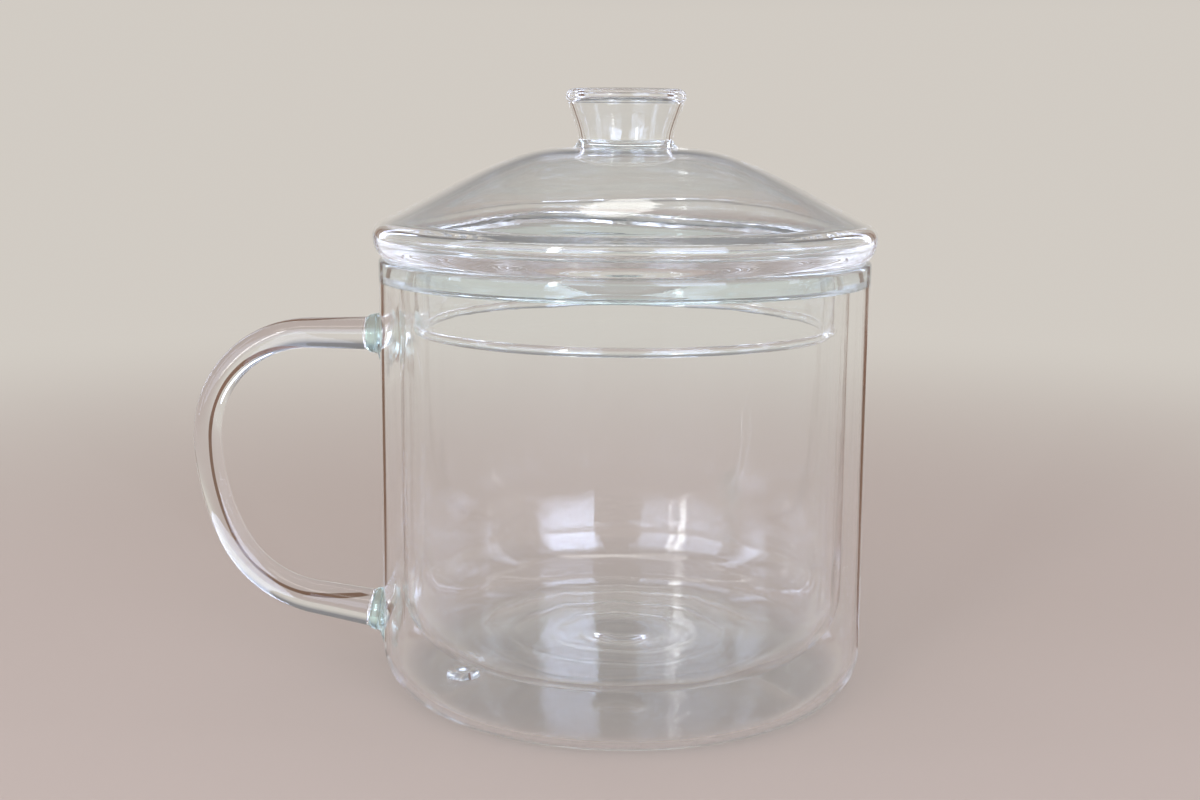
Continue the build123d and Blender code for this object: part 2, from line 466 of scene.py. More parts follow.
@dataclass(frozen=True)
class Unevenness:
    """Slight waves that hand work at the lamp leaves in a skin of glass.

    Attributes:
        height: Height of the waves, in metres.
        pitch: Length of a wave along the skin's section.
        around: Length of a wave round the axis.
        low: Height below which the skin is true.
        high: Height above which the skin is true.
        fade: Height over which the waves set in.
        pitches_apart: How far the waves of the underside are shifted, in wave lengths.
    """

    height: float
    pitch: float
    around: float
    low: float
    high: float
    fade: float = 0.006
    pitches_apart: float = 7.5

    def share(self, height: float) -> float:
        """Return how strongly the waves show at a height, from 0 to 1."""
        inside = min(height - self.low, self.high - height) / self.fade
        return min(max(inside, 0.0), 1.0)

    def apply(self, bm: BMesh) -> None:
        """Move a skin's vertices along their normals.

        Args:
            bm: The skin.
        """
        bm.normal_update()
        moves = []
        for vertex in bm.verts:
            place = vertex.co
            spread = math.hypot(place.x, place.y)
            angle = math.atan2(place.y, place.x)
            along = (spread + place.z) / self.pitch + self.pitches_apart * (vertex.normal.z < 0)
            ring = spread / self.around
            wave = noise.noise(Vector((ring * math.cos(angle), ring * math.sin(angle), along)))
            moves.append(vertex.normal * wave * self.height * self.share(place.z))
        for vertex, move in zip(bm.verts, moves):
            vertex.co += move


@dataclass(frozen=True)
class HeatMark:
    """Shallow bulge that the lamp left in the inner face of the shell behind a weld.

    Attributes:
        place: Middle of the bulge.
        spread: Distance at which it fades out.
        depth: How far it stands inwards.
    """

    place: Vector
    spread: float
    depth: float

    def apply(self, bm: BMesh) -> None:
        """Move the inward-facing vertices near the mark along their normals.

        Args:
            bm: The shell.
        """
        bm.normal_update()
        for vertex in bm.verts:
            outward = Vector((vertex.co.x, vertex.co.y, 0.0))
            distance = (vertex.co - self.place).length / self.spread
            if distance < 1 and vertex.normal.dot(outward) < 0:
                fade = (1 - distance * distance) ** 2
                vertex.co += vertex.normal * self.depth * fade


def follow_table(places: Sequence[float], values: Sequence[float], at: float) -> float:
    """Read a table of values on a smooth curve through its entries.

    Args:
        places: Rising places of the entries.
        values: Value of each entry.
        at: Place to read, between the first and the last.

    Returns:
        The value there.
    """
    last = len(places) - 1
    index = min(sum(place <= at for place in places), last) - 1
    slopes = []
    for entry in (index, index + 1):
        before, after = max(entry - 1, 0), min(entry + 1, last)
        slopes.append((values[after] - values[before]) / (places[after] - places[before]))
    span = places[index + 1] - places[index]
    part = (at - places[index]) / span
    blend = part * part * (3 - 2 * part)
    start_bend = span * slopes[0] * part * (1 - part) ** 2
    end_bend = span * slopes[1] * part * part * (part - 1)
    return values[index] + (values[index + 1] - values[index]) * blend + start_bend + end_bend


@dataclass(frozen=True)
class Station:
    """One round section of a bent rod: its centre, its direction and its radius."""

    centre: Vector
    direction: Vector
    radius: float

    def matrix(self) -> Matrix:
        """Put a unit circle of the XY plane at this station.

        Returns:
            The matrix that does so.
        """
        side = Vector((0.0, 1.0, 0.0))
        normal = self.direction.normalized()
        turn = Matrix((side.cross(normal), side, normal)).transposed().to_4x4()
        return Matrix.Translation(self.centre) @ turn @ Matrix.Diagonal((self.radius,) * 3).to_4x4()


def extrude_ring(bm: BMesh, edges: Sequence[BMEdge]) -> tuple[list[BMVert], list[BMEdge]]:
    """Extrude a ring of edges on the spot.

    Args:
        bm: The mesh.
        edges: The ring's edges.

    Returns:
        The new ring's vertices and edges.
    """
    grown = bmesh.ops.extrude_edge_only(bm, edges=edges)["geom"]
    ring = [item for item in grown if isinstance(item, BMVert)]
    whole = set(ring)
    return ring, [item for item in grown if isinstance(item, BMEdge) and whole.issuperset(item.verts)]


def sweep_stations(bm: BMesh, stations: Sequence[Station], segments: int = 64) -> list[list[BMVert]]:
    """Extrude a circle from station to station.

    Args:
        bm: An empty mesh.
        stations: The round sections in order.
        segments: Number of points round the rod.

    Returns:
        The vertices of each ring, in order.
    """
    made = bmesh.ops.create_circle(bm, segments=segments, radius=1.0, matrix=stations[0].matrix())
    rings = [made["verts"]]
    edges = bm.edges[:]
    for last, station in zip(stations, stations[1:]):
        ring, edges = extrude_ring(bm, edges)
        bmesh.ops.transform(bm, matrix=station.matrix() @ last.matrix().inverted(), verts=ring)
        rings.append(ring)
    return rings


def close_end(bm: BMesh, ring: Sequence[BMVert], way: Vector, depth: float, steps: int = 6) -> list[BMVert]:
    """Close an open end of a swept rod with a shallow dome or hollow.

    Args:
        bm: The mesh.
        ring: Vertices of the open end.
        way: Direction in which the dome stands.
        depth: Height of the dome.
        steps: Number of rings in the dome.

    Returns:
        The new vertices.
    """
    centre = sum((vertex.co for vertex in ring), Vector()) / len(ring)
    end = set(ring)
    edges = [edge for edge in bm.edges if edge.is_boundary and end.issuperset(edge.verts)]
    made = []
    for step in range(1, steps + 1):
        rim, edges = extrude_ring(bm, edges)
        share = 1 - step / (steps + 1)
        for vertex in rim:
            offset = vertex.co - centre
            spoke = (offset - way * offset.dot(way)) * share * (steps + 1) / (steps + 2 - step)
            vertex.co = centre + spoke + way * depth * (1 - share**2)
        made += rim
    bmesh.ops.holes_fill(bm, edges=edges)
    return made


def make_object(name: str, bm: BMesh, *finishes: Finish) -> Object:
    """Make a modelled mesh an object of the scene.

    Args:
        name: Name of the mesh and the object.
        bm: The modelled mesh, which is freed.
        finishes: Its finishes, in the order of its faces' material numbers.

    Returns:
        The new object.
    """
    mesh = bpy.data.meshes.new(name)
    bm.to_mesh(mesh)
    bm.free()
    for finish in finishes:
        mesh.materials.append(finish.material())
    made = bpy.data.objects.new(name, mesh)
    bpy.context.scene.collection.objects.link(made)
    return made


@dataclass(frozen=True)
class Seam:
    """Part of a turned piece's skin that is fused to its neighbour, as a band of its section.

    Attributes:
        inner: Least distance from the axis.
        outer: Greatest distance from the axis.
        low: Lower height.
        high: Upper height.
        axis: Place of the axis, as X and Y.
        margin: How far a face may lie outside the band.
    """

    inner: float
    outer: float
    low: float
    high: float
    axis: Pair = (0.0, 0.0)
    margin: float = 3 * SEAM

    def covers(self, face: BMFace) -> bool:
        """Tell whether a face lies in the seam.

        Args:
            face: A face of the piece.

        Returns:
            True where it does.
        """
        middle = face.calc_center_median()
        radius = math.hypot(middle.x - self.axis[0], middle.y - self.axis[1])
        across = self.inner - self.margin < radius < self.outer + self.margin
        return across and self.low - self.margin < middle.z < self.high + self.margin


@dataclass
class GlassPiece:
    """A finished piece of glass.

    Attributes:
        node: Name of the CAD node that it stands for.
        body: Body that it rides on.
        slot: Material slot; not used.
        finish: Its glass.
        seams: Where it is fused to its neighbours.
        crease: Angle above which an edge stays crisp, in degrees.
    """

    node: str
    body: Body
    slot: Slot
    finish: GlassFinish
    seams: tuple[Seam, ...] = ()
    crease: float = 38.0

    def turn(
        self,
        corners: Sequence[Corner],
        waves: Sequence[Unevenness] = (),
        longest: float = 0.003,
        turns: int = 256,
    ) -> None:
        """Turn a section that starts and ends on the axis, or else is a ring, and place the piece.

        Args:
            corners: The section, point by point.
            waves: Waves in its skin.
            longest: Longest stretch of the section that stays undivided.
            turns: Number of steps in the full turn.
        """
        bm = bmesh.new()
        turn_section(bm, corners, corners[0].radius > 0, longest, turns)
        settle(bm)
        for wave in waves:
            wave.apply(bm)
        self.place(bm)

    def place(self, bm: BMesh) -> None:
        """Close the mesh, make it an object, dress it, hang it on its body and hide the CAD node that it
        stands for.

        Args:
            bm: The modelled mesh, which is freed.
        """
        settle(bm)
        for face in bm.faces:
            face.smooth = True
            face.material_index = int(any(seam.covers(face) for seam in self.seams))
        fused = (FusedFinish(),) if self.seams else ()
        piece = make_object(f"{self.node}_glass", bm, self.finish, *fused)
        piece.data.set_sharp_from_angle(angle=math.radians(self.crease))
        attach(piece, self.body.value)
        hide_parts(self.node)
        log.info("%s: %d faces", piece.name, len(piece.data.polygons))


@dataclass
class MugBody:
    """The double wall of the mug with its rim and the sealed vent.

    Attributes:
        shell_wall: Thickness of the outer wall.
        base: Thickness of the outer base.
        base_corner: Outer rounding of the base.
        cup_wall: Thickness of the inner wall.
        cup_floor: Thickness of the cup's floor.
        cup_corner: Inner rounding of the cup.
        mark_radius: Radius of the cut-off button under the floor.
        mark_depth: How far that button stands down.
        mark_shares: Shares of that radius at which its edge bends and ends.
        ring_radii: Radii of the faint rings in the floor.
        ring_height: Height of those rings.
        ring_width: Width of those rings.
        rim_outer: Outer rounding of the rim.
        rim_inner: Inner rounding of the rim.
        rim_hollow: Depth of the hollow under the rim.
        hollow_inset: How far its sides lean in.
        hollow_pull: Share of its depth that its sides are drawn to.
        calm: Height under the rim that is free of waves.
        vent_radius: Radius of the vent hole.
        vent_recess: How far the seal stays inside the base.
        vent_segments: Number of points round the vent.
        heat_spread: Radius of the bulge that each weld left in the wall.
        heat_depth: How far that bulge stands inwards.
        seal_ridge: Share of the seal's radius at which its crest runs.
        seal_dimple: Depth of the dimple in the seal.
    """

    shell_wall: float = 0.0012
    base: float = 0.0014
    base_corner: float = 0.009
    cup_wall: float = 0.0012
    cup_floor: float = 0.0012
    cup_corner: float = 0.012
    mark_radius: float = 0.007
    mark_depth: float = 0.0007
    mark_shares: tuple[float, ...] = (0.5, 0.8, 1.15)
    ring_radii: tuple[float, ...] = (0.0312, 0.0225, 0.0145, 0.0085)
    ring_height: float = 0.0001
    ring_width: float = 0.0011
    rim_outer: float = 0.0009
    rim_inner: float = 0.0015
    rim_hollow: float = 0.0008
    hollow_inset: float = 0.0005
    hollow_pull: float = 1.33
    calm: float = 0.004
    vent_radius: float = 0.0015
    vent_recess: float = 0.0003
    vent_segments: int = 64
    heat_spread: float = 0.011
    heat_depth: float = 0.0010
    seal_ridge: float = 0.62
    seal_dimple: float = 0.0006
    radius: float = field(init=False)
    seam: float = field(init=False)
    rim: float = field(init=False)
    cup_radius: float = field(init=False)
    cup_inner: float = field(init=False)
    mark_tip: float = field(init=False)
    vent: Pair = field(init=False)
    seal_radius: float = field(init=False)
    seal_top: float = field(init=False)

    def __post_init__(self) -> None:
        """Read the main sizes from the frame."""
        shell_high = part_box("outer_shell")[1]
        cup_low, cup_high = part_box("inner_cup")
        seal_low, seal_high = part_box("vent_seal")
        self.radius = shell_high.x
        self.seam = shell_high.z
        self.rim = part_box("rim_bead")[1].z
        self.cup_radius = cup_high.x
        self.cup_inner = self.cup_radius - self.cup_wall
        self.mark_tip = cup_low.z
        middle = (seal_low + seal_high) / 2
        self.vent = (middle.x, middle.y)
        self.seal_radius = seal_high.y - middle.y
        self.seal_top = seal_high.z

    def build(self) -> None:
        """Build all pieces of the mug's body."""
        self.build_shell()
        self.build_cup()
        self.build_rim()
        self.build_seal()

    def outer_radius(self, height: float) -> float:
        """Follow the outer surface, round the base corner too.

        Args:
            height: Height above the base.

        Returns:
            Its radius there.
        """
        drop = max(self.base_corner - height, 0.0)
        round_centre = self.radius - self.base_corner
        return round_centre + math.sqrt(max(self.base_corner**2 - drop**2, 0.0))

    def build_shell(self) -> None:
        """Build the outer wall, with its base pierced by the vent."""
        bm = bmesh.new()
        top = self.seam - SEAM
        inner = self.radius - self.shell_wall
        flat = self.radius - self.base_corner
        inner_corner = self.base_corner - self.shell_wall
        corners = [
            Corner(flat, 0.0),
            Corner(self.radius, 0.0, self.base_corner * NEARLY, steps=20),
            Corner(self.radius, top),
            Corner(inner, top),
            Corner(inner, self.base, inner_corner * NEARLY, steps=20),
            Corner(flat, self.base),
        ]
        turn_section(bm, corners, longest=0.0015)
        settle(bm)
        self.pierce_base(bm)
        settle(bm)
        calm = self.seam - self.calm
        Unevenness(height=0.00003, pitch=0.09, around=0.016, low=0.012, high=calm).apply(bm)
        for height in WELD_HEIGHTS:
            place = Vector((self.shell_wall - self.radius, 0.0, height))
            HeatMark(place, self.heat_spread, self.heat_depth).apply(bm)
        seams = (
            Seam(inner, self.radius, top, top),
            Seam(self.vent_radius, self.vent_radius, self.vent_recess, self.base, self.vent),
            Seam(self.vent_radius, self.seal_radius, self.base, self.base, self.vent),
        )
        GlassPiece("outer_shell", Body.MUG, Slot.THIN, WALL_GLASS, seams).place(bm)

    def pierce_base(self, bm: BMesh) -> None:
        """Close both faces of the base round the vent hole and line the hole.

        Args:
            bm: The shell, open in the middle of its base.
        """
        rims = [edge for edge in bm.edges if edge.is_boundary]
        levels = ((0.0, self.vent_radius), (self.base, self.seal_radius), (self.base, self.vent_radius))
        loops = []
        for height, radius in levels:
            place = Matrix.Translation((*self.vent, height))
            circle = bmesh.ops.create_circle(bm, segments=self.vent_segments, radius=radius, matrix=place)
            loops.append(list({edge for vertex in circle["verts"] for edge in vertex.link_edges}))
        for loop, height in zip(loops, (0.0, self.base)):
            outline = [edge for edge in rims if abs(edge.verts[0].co.z - height) < SEAM]
            bmesh.ops.triangle_fill(bm, edges=outline + loop, use_beauty=True)
        bmesh.ops.triangle_fill(bm, edges=loops[1] + loops[2], use_beauty=True)
        sides = bmesh.ops.bridge_loops(bm, edges=loops[2] + loops[0])["faces"]
        edges = {edge for face in sides for edge in face.edges}
        verts = {vertex for face in sides for vertex in face.verts}
        level = (0.0, 0.0, self.vent_recess)
        lining = [*verts, *edges, *sides]
        bmesh.ops.bisect_plane(bm, geom=lining, plane_co=level, plane_no=(0.0, 0.0, 1.0))

    def build_cup(self) -> None:
        """Build the inner wall and floor, with the cut-off button under the floor."""
        top = self.seam - SEAM
        tip = self.mark_tip
        under = tip + self.mark_depth
        floor = under + self.cup_floor
        calm = self.seam - self.calm
        first, second, end = (self.mark_radius * share for share in self.mark_shares)
        corners = [
            *curve((0.0, tip), (first, tip), (second, under), (end, under), steps=10),
            Corner(self.cup_radius, under, self.cup_corner + self.cup_wall, steps=24),
            Corner(self.cup_radius, top),
            Corner(self.cup_inner, top),
            Corner(self.cup_inner, floor, self.cup_corner, steps=24),
            *self.floor_rings(floor),
            Corner(0.0, floor),
        ]
        # Each wave's height, pitch and length round the axis, then the heights that it shows between
        waves = (
            Unevenness(0.00005, 0.09, 0.010, low=floor + 0.006, high=calm),
            Unevenness(0.00003, 0.15, 0.003, low=floor + 0.010, high=calm),
            Unevenness(0.00006, 0.008, 0.05, low=under - 0.002, high=floor + 0.002, fade=0.001),
            Unevenness(0.00010, 0.012, 0.008, low=floor + 0.0005, high=floor + 0.020, fade=0.003),
        )
        seams = (Seam(self.cup_inner, self.cup_radius, top, top),)
        GlassPiece("inner_cup", Body.MUG, Slot.THIN, WALL_GLASS, seams).turn(corners, waves)

    def floor_rings(self, floor: float) -> list[Corner]:
        """Follow the faint rings that turning left in the cup's floor, from outside to inside.

        Args:
            floor: Height of the floor.

        Returns:
            The points as plain corners.
        """
        widest = self.ring_radii[0] + self.ring_width
        count = round(widest / self.ring_width * 2)
        points = []
        for step in range(count):
            radius = widest * (1 - step / count)
            rise = sum(math.exp(-(((radius - ring) / self.ring_width) ** 2)) for ring in self.ring_radii)
            points.append(Corner(radius, floor + self.ring_height * rise))
        return points

    def build_rim(self) -> None:
        """Build the solid ring that joins both walls at the mouth."""
        low = self.seam + SEAM
        high = low + self.rim_hollow * self.hollow_pull
        inset = self.hollow_inset
        inner, gap_inner, gap_outer = self.cup_inner, self.cup_radius, self.radius - self.shell_wall
        hollow = curve(
            (gap_inner, low), (gap_inner + inset, high), (gap_outer - inset, high), (gap_outer, low), steps=12
        )
        corners = [
            Corner(inner, low),
            *hollow,
            Corner(self.radius, low),
            Corner(self.radius, self.rim, self.rim_outer),
            Corner(inner, self.rim, self.rim_inner, steps=10),
        ]
        seams = (Seam(inner, gap_inner, low, low), Seam(gap_outer, self.radius, low, low))
        GlassPiece("rim_bead", Body.MUG, Slot.THICK, RIM_GLASS, seams).turn(corners)

    def build_seal(self) -> None:
        """Build the drop of glass that closes the vent."""
        bm = bmesh.new()
        button, high = self.seal_radius, self.seal_top
        stem = self.vent_radius - SEAM
        low = self.base + SEAM
        dimple = high - self.seal_dimple
        ridge = self.seal_ridge * button
        bend = ((button - ridge) ** 2 + (high - low) ** 2) / (2 * (high - low))
        foot_angle = math.degrees(math.asin((low - high + bend) / bend))
        corners = [
            Corner(0.0, self.vent_recess),
            Corner(stem, self.vent_recess, self.vent_recess / 2, steps=3),
            Corner(stem, low),
            *arc((ridge, high - bend), bend, foot_angle, 90.0, steps=14),
            *curve((ridge, high), (ridge / 2, high), (ridge / 2, dimple), (0.0, dimple), steps=12)[1:],
        ]
        turn_section(bm, corners, longest=0.001, turns=self.vent_segments)
        bmesh.ops.translate(bm, vec=(*self.vent, 0.0), verts=bm.verts[:])
        seams = (
            Seam(stem, stem, self.vent_recess, low, self.vent),
            Seam(stem, button, low, low, self.vent),
        )
        GlassPiece("vent_seal", Body.MUG, Slot.THICK, WALL_GLASS, seams).place(bm)


@dataclass
class Handle:
    """The bent rod and the two flared welds that join it to the wall.

    Attributes:
        wall: The mug's body, which the welds meet.
        top: Height of the rod's upper arm.
        foot: Height at which the lower arm meets the wall.
        upper_bend: Radius of the upper bend.
        lower_bend: Radius of the lower bend.
        bow_angle: Turn of the long side bow, in degrees.
        arm_slope: Fall of the lower arm, in degrees.
        reach: Distance from the wall to the outside of the centre line.
        weld_reach: Length of a weld.
        top_radius: Rod's radius at the upper weld.
        bend_radius: Rod's radius round the upper bend.
        foot_radius: Rod's radius at the lower weld.
        bend_share: Where along the rod it is thinnest.
        weld_bite: How far a weld's flare would run on into the wall, where it is cut.
        flare: How far a weld spreads over that whole length.
        sag: How far its middle drops over that length.
        weld_places: Places along a weld, as shares of that length.
        weld_swells: Share of the flare at each place.
        weld_sags: Share of the drop at each place.
        weld_crown: How far a weld bulges into the rod's end.
        weld_rings: Number of steps along a weld.
        weld_segments: Number of points round a weld.
    """

    wall: MugBody
    top: float = WELD_HEIGHTS[0]
    foot: float = WELD_HEIGHTS[1]
    upper_bend: float = 0.022
    lower_bend: float = 0.024
    bow_angle: float = 25.5
    arm_slope: float = 10.5
    reach: float = 0.03695
    weld_reach: float = 0.003
    top_radius: float = 0.00345
    bend_radius: float = 0.0029
    foot_radius: float = 0.00395
    bend_share: float = 0.32
    weld_bite: float = 0.001
    flare: float = 0.0032
    sag: float = 0.0016
    weld_places: tuple[float, ...] = (0.0, 0.15, 0.4, 0.575, 0.75, 1.0)
    weld_swells: tuple[float, ...] = (0.0, 0.125, 0.2, 0.3, 0.66, 1.0)
    weld_sags: tuple[float, ...] = (0.0, 0.0, 0.0, 0.1, 0.6, 1.0)
    weld_crown: float = 0.0009
    weld_rings: int = 28
    weld_segments: int = 72

    def build(self) -> None:
        """Build the rod and both welds."""
        line = list(self.centre_line())
        self.build_rod(line)
        first_place, first_way = line[0]
        last_place, last_way = line[-1]
        self.build_weld("upper_handle_weld", first_place, -first_way, self.top_radius)
        self.build_weld("lower_handle_weld", last_place, last_way, self.foot_radius)

    def side_and_arm(self) -> Pair:
        """Solve the bow's radius and the lower arm's length that close the loop on the wall.

        Returns:
            The radius and the length.
        """
        bow = math.radians(self.bow_angle)
        slope = math.radians(self.arm_slope)
        bend_end = math.pi / 2 - slope
        fall = self.top - self.foot - self.upper_bend
        fall -= self.lower_bend * (math.sin(bend_end) - math.sin(bow))
        run = self.reach - self.lower_bend * (math.cos(bow) - math.cos(bend_end))
        spread = math.sin(bow) * math.cos(slope) - math.sin(slope) * (1 - math.cos(bow))
        radius = (fall * math.cos(slope) - run * math.sin(slope)) / spread
        length = (run * math.sin(bow) - fall * (1 - math.cos(bow))) / spread
        return radius, length

    def centre_line(self) -> Iterator[tuple[Vector, Vector]]:
        """Walk along the rod from the upper weld to the lower one.

        Yields:
            A place on the centre line and the direction there.
        """
        bow_radius, arm_length = self.side_and_arm()
        lower_turn = 90.0 - self.bow_angle - self.arm_slope
        # Each leg's straight length, bend radius, angle and number of steps
        legs = (
            (self.reach - self.upper_bend - self.weld_reach, 0.0, 0.0, 8),
            (0.0, self.upper_bend, 90.0, 40),
            (0.0, bow_radius, self.bow_angle, 24),
            (0.0, self.lower_bend, lower_turn, 28),
            (arm_length - self.weld_reach, 0.0, 0.0, 8),
        )
        place = Vector((-self.wall.radius - self.weld_reach, 0.0, self.top))
        way = Vector((-1.0, 0.0, 0.0))
        yield place.copy(), way.copy()
        for length, bend, angle, steps in legs:
            step_turn = math.radians(angle) / steps
            step_length = length / steps + 2 * bend * math.sin(step_turn / 2)
            for _ in range(steps):
                way.rotate(Matrix.Rotation(-step_turn / 2, 3, "Y"))
                place += way * step_length
                way.rotate(Matrix.Rotation(-step_turn / 2, 3, "Y"))
                yield place.copy(), way.copy()

    def rod_radius(self, share: float) -> float:
        """Follow the rod's taper, on a parabola through the three known radii.

        Args:
            share: Share of the rod's length.

        Returns:
            Its radius there.
        """
        bend = self.bend_share
        at_top = self.top_radius * (share - bend) * (share - 1) / bend
        at_bend = self.bend_radius * share * (share - 1) / (bend * (bend - 1))
        at_foot = self.foot_radius * share * (share - bend) / (1 - bend)
        return at_top + at_bend + at_foot

    def build_rod(self, line: Sequence[tuple[Vector, Vector]]) -> None:
        """Sweep the rod along its centre line.

        Args:
            line: Places and directions from the upper weld to the lower one.
        """
        bm = bmesh.new()
        steps = [(after - before).length for (before, _), (after, _) in zip(line, line[1:])]
        total = sum(steps)
        stations = []
        walked = 0.0
        for (place, way), step in zip(line, [*steps, 0.0]):
            stations.append(Station(place, way, self.rod_radius(walked / total)))
            walked += step
        across = bm.verts.layers.float_vector.new("across")
        rings = sweep_stations(bm, stations)
        for ring, station in zip(rings, stations):
            back = station.matrix().inverted()
            for vertex in ring:
                vertex[across] = (back @ vertex.co) * station.radius
        close_end(bm, rings[0], stations[0].direction, self.weld_crown)
        close_end(bm, rings[-1], -stations[-1].direction, self.weld_crown)
        GlassPiece("handle_rod", Body.MUG, Slot.THICK, ROD_GLASS).place(bm)

    def build_weld(self, node: str, end: Vector, way: Vector, rod_radius: float) -> None:
        """Flare the glass from the end of the rod to the wall.

        Args:
            node: Name of the CAD node.
            end: Centre of the rod's end.
            way: Direction from the rod to the wall.
            rod_radius: Radius of the rod's end.
        """
        bm = bmesh.new()
        start = end + way * 2 * SEAM
        foot = Vector((self.weld_bite - self.wall.radius, 0.0, end.z + way.z * self.weld_reach))
        to_wall = Vector((1.0, 0.0, 0.0))

        def station(share: float) -> Station:
            """Follow the weld from the rod towards the wall.

            Args:
                share: Share of its length.

            Returns:
                Its section there.
            """
            drop = self.sag * follow_table(self.weld_places, self.weld_sags, share)
            swell = self.flare * follow_table(self.weld_places, self.weld_swells, share)
            centre = start.lerp(foot, share) - Vector((0.0, 0.0, drop))
            return Station(centre, way.lerp(to_wall, share), rod_radius + swell)

        shares = [step / self.weld_rings for step in range(self.weld_rings + 1)]
        sections = [station(share) for share in shares]
        rings = sweep_stations(bm, sections, self.weld_segments)
        for step, (ring, section) in enumerate(zip(rings, sections)):
            back = section.matrix().inverted()
            for vertex in ring:
                spoke = back @ vertex.co
                reach = self.share_at_wall(station, spoke)
                vertex.co = station(reach * step / self.weld_rings).matrix() @ spoke
        close_end(bm, rings[0], -way, self.weld_crown)
        for vertex in close_end(bm, rings[-1], to_wall, 0.0):
            vertex.co.x = self.wall_depth(vertex.co)
        GlassPiece(node, Body.MUG, Slot.THICK, WELD_GLASS).place(bm)

    def wall_depth(self, place: Vector) -> float:
        """Return the X of the wall's outer surface, a seam's width out, beside a place."""
        radius = self.wall.outer_radius(place.z) + 2 * SEAM
        return -math.sqrt(radius**2 - place.y**2)

    def share_at_wall(self, station: Callable[[float], Station], spoke: Vector) -> float:
        """Find where one line along a weld's skin meets the wall.

        Args:
            station: Gives the weld's section at a share of its length.
            spoke: The line's place on the unit circle of each section.

        Returns:
            The share of the weld's length at which the line ends.
        """
        low, high = 0.0, 1.0
        for _ in range(HALVINGS):
            middle = (low + high) / 2
            place = station(middle).matrix() @ spoke
            if place.x < self.wall_depth(place):
                low = middle
            else:
                high = middle
        return low


